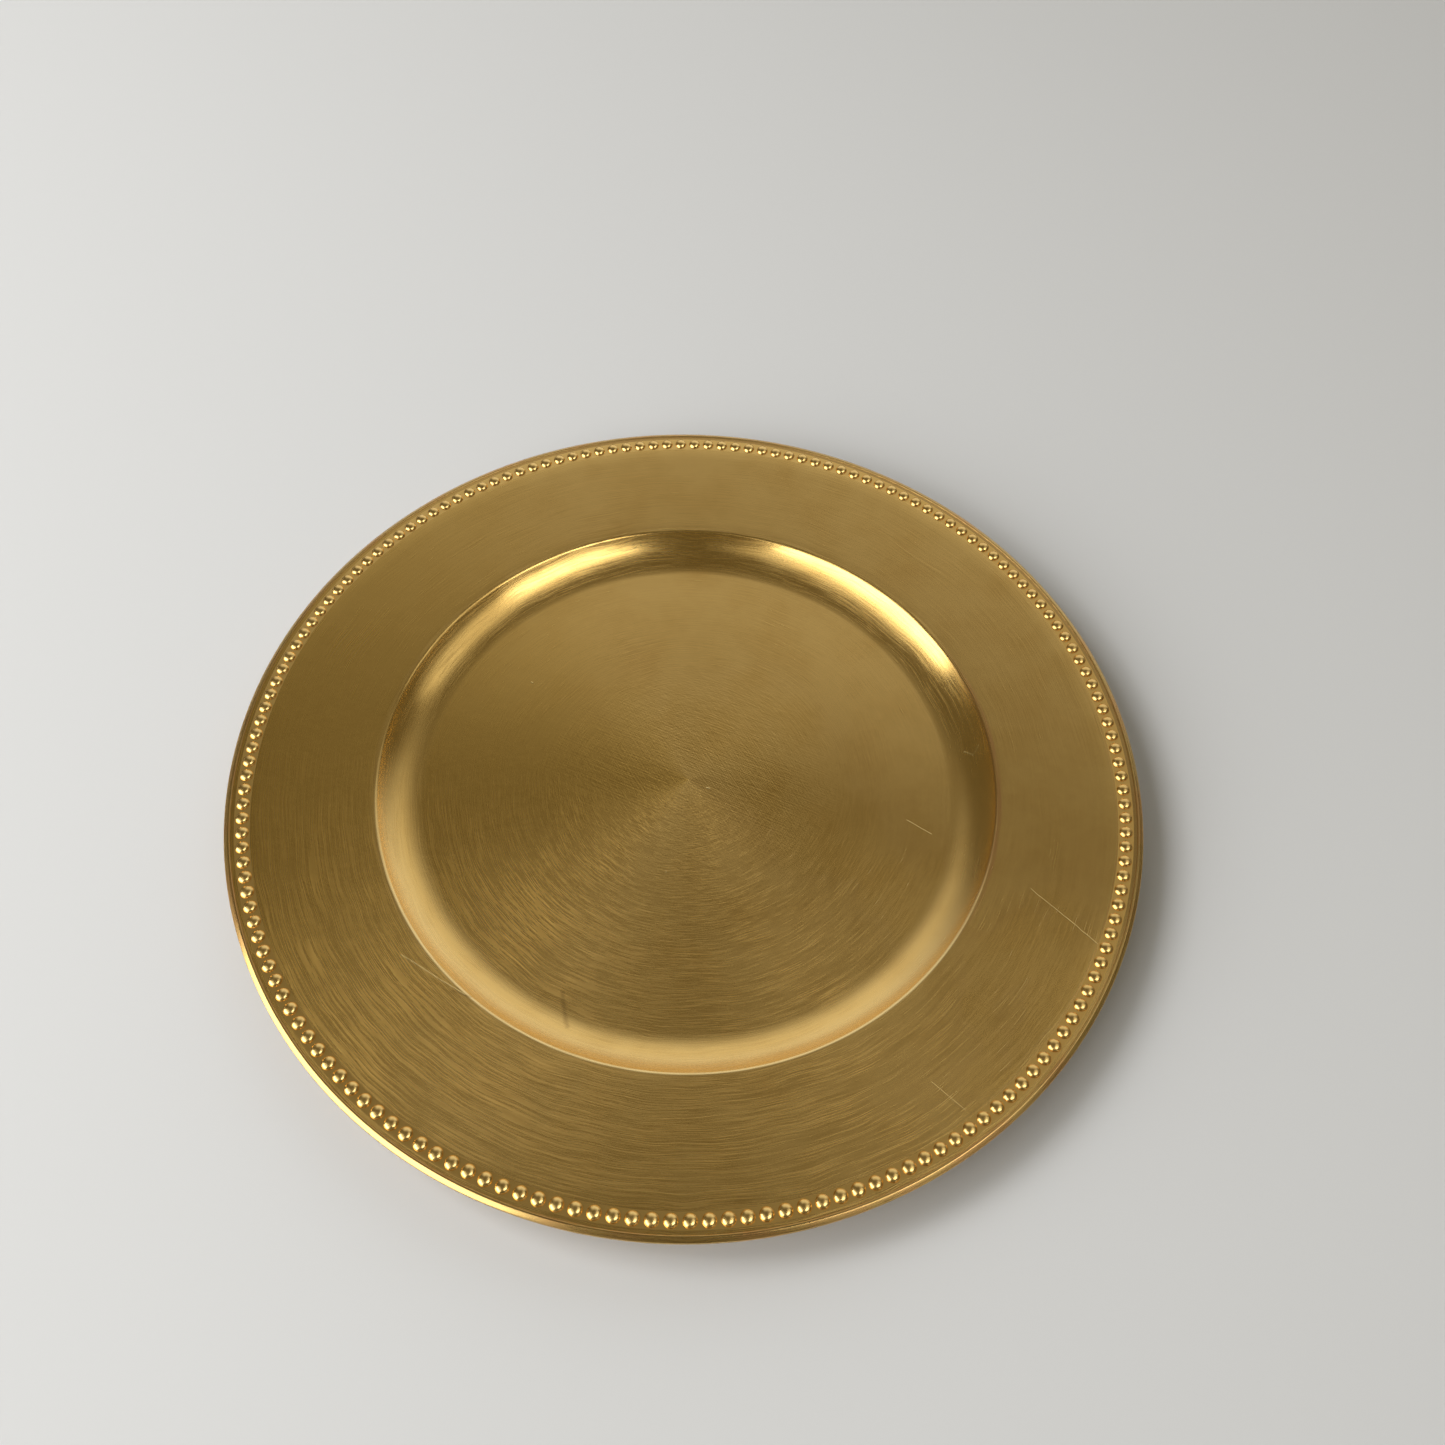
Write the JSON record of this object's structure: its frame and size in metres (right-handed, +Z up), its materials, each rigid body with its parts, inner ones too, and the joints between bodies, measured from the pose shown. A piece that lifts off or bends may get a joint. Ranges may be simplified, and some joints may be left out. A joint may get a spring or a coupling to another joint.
{
  "type": "paten plate",
  "caption": "Round gilt brass altar plate with a shallow well, a wide gently sloped flange and a beaded border inside a bevelled rim.",
  "frame": {"origin": "centre of the plate at the surface it stands on, in the plane of the foot ring's bottom face", "axes": "+Z up through the plate's axis, out of the well; the plate is round, so X and Y are any two level directions"},
  "size_m": [0.33, 0.33, 0.0179],
  "materials": {
    "brushed_gilt": "gilt brass brushed by hand in rings round the centre",
    "bead_gilt": "gilt brass, stamped beads rubbed bright on top with a warm tone between them",
    "wire_gilt": "gilt brass wire, satin, a little worn along its bevel",
    "foot_gilt": "gilt brass, turned, worn where it stands"
  },
  "bodies": {
    "root": {"dish": "brushed_gilt", "bead_border": "bead_gilt", "rim_wire": "wire_gilt", "foot_ring": "foot_gilt"}
  },
  "joints": []
}
